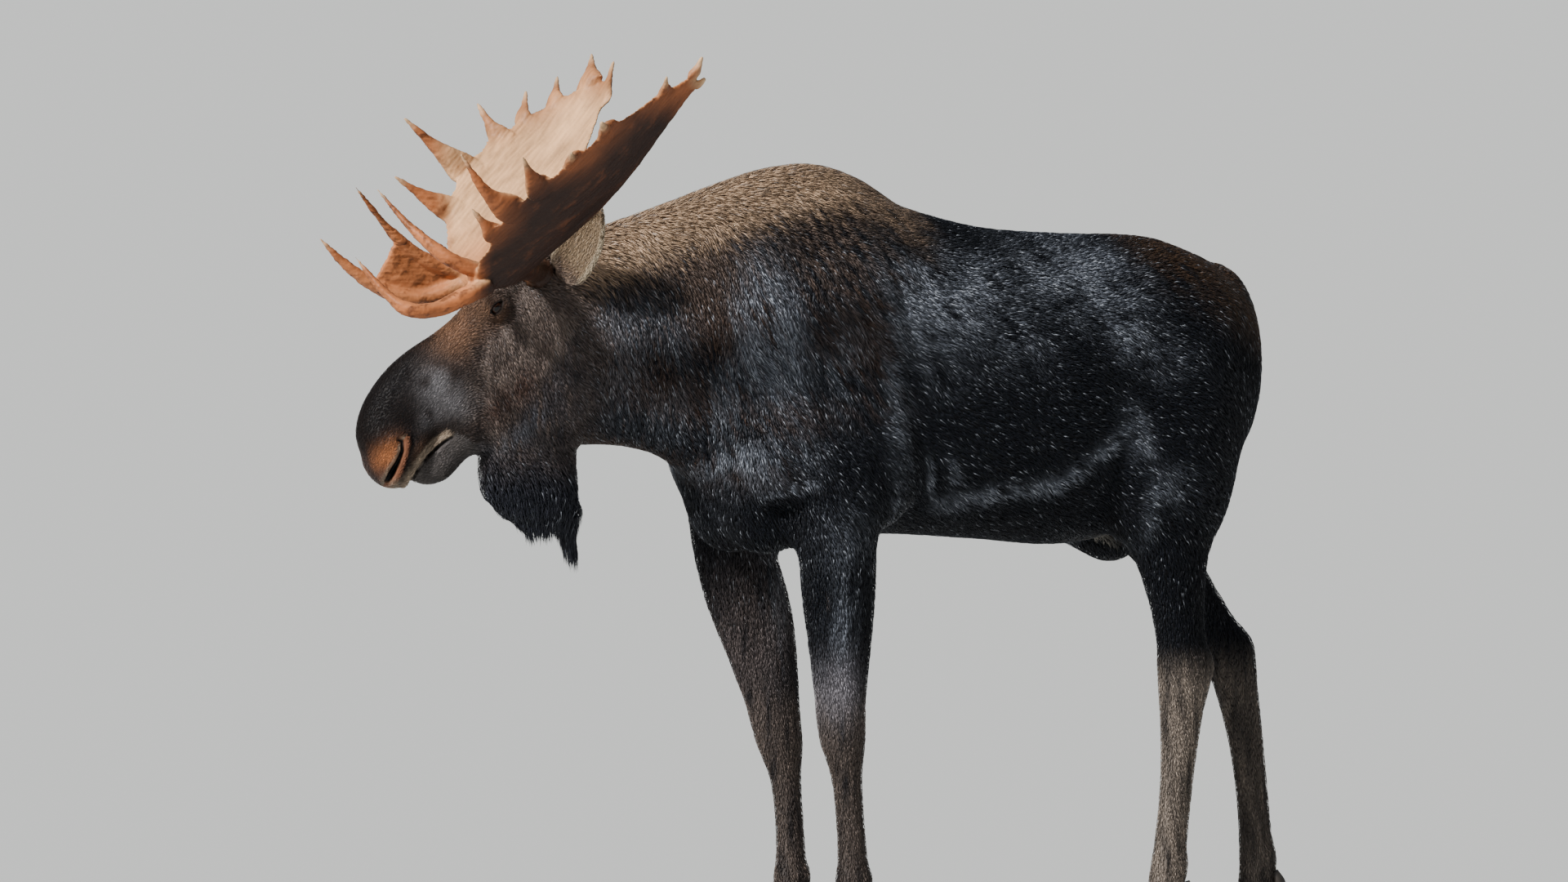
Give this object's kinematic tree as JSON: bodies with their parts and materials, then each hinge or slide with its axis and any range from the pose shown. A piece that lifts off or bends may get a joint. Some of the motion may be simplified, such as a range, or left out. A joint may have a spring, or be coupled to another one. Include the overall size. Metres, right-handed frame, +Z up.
{
  "type": "moose",
  "caption": "Life-size still model of a bull moose standing with its head low: shoulder hump, long legs, broad palmate antlers and a hanging throat bell.",
  "frame": {"origin": "middle of the bounding box's footprint, at the level of the soles", "axes": "+Z up, the animal faces -X with its left side to -Y; X is the length from muzzle and brow tines to hind feet"},
  "size_m": [2.613, 1.1796, 2.1534],
  "materials": {
    "coat": "thick black-brown hair with a soft sheen, browner on the hump, greyer on the lower legs",
    "antler_bone": "satin polished bone, orange brown with paler palms",
    "hoof_horn": "dull dark horn",
    "eye_wet": "wet dark brown eye"
  },
  "bodies": {
    "root": {"neck": "coat", "trunk": "coat", "foreleg_left_upper": "coat", "foreleg_left_lower": "coat", "foreleg_left_hoof_outer": "hoof_horn", "foreleg_left_dewclaw_outer": "hoof_horn", "foreleg_left_hoof_inner": "hoof_horn", "foreleg_left_dewclaw_inner": "hoof_horn", "foreleg_right_upper": "coat", "foreleg_right_lower": "coat", "foreleg_right_hoof_inner": "hoof_horn", "foreleg_right_dewclaw_inner": "hoof_horn", "foreleg_right_hoof_outer": "hoof_horn", "foreleg_right_dewclaw_outer": "hoof_horn", "hindleg_left_upper": "coat", "hindleg_left_lower": "coat", "hindleg_left_hoof_outer": "hoof_horn", "hindleg_left_dewclaw_outer": "hoof_horn", "hindleg_left_hoof_inner": "hoof_horn", "hindleg_left_dewclaw_inner": "hoof_horn", "hindleg_right_upper": "coat", "hindleg_right_lower": "coat", "hindleg_right_hoof_inner": "hoof_horn", "hindleg_right_dewclaw_inner": "hoof_horn", "hindleg_right_hoof_outer": "hoof_horn", "hindleg_right_dewclaw_outer": "hoof_horn", "jaw": "coat", "eye_left": "eye_wet", "antler_left_beam": "antler_bone", "antler_left_palm": "antler_bone", "antler_left_brow": "antler_bone", "ear_left": "coat", "eye_right": "eye_wet", "antler_right_beam": "antler_bone", "antler_right_palm": "antler_bone", "antler_right_brow": "antler_bone", "ear_right": "coat", "head": "coat", "bell": "coat", "tail": "coat"}
  },
  "joints": []
}
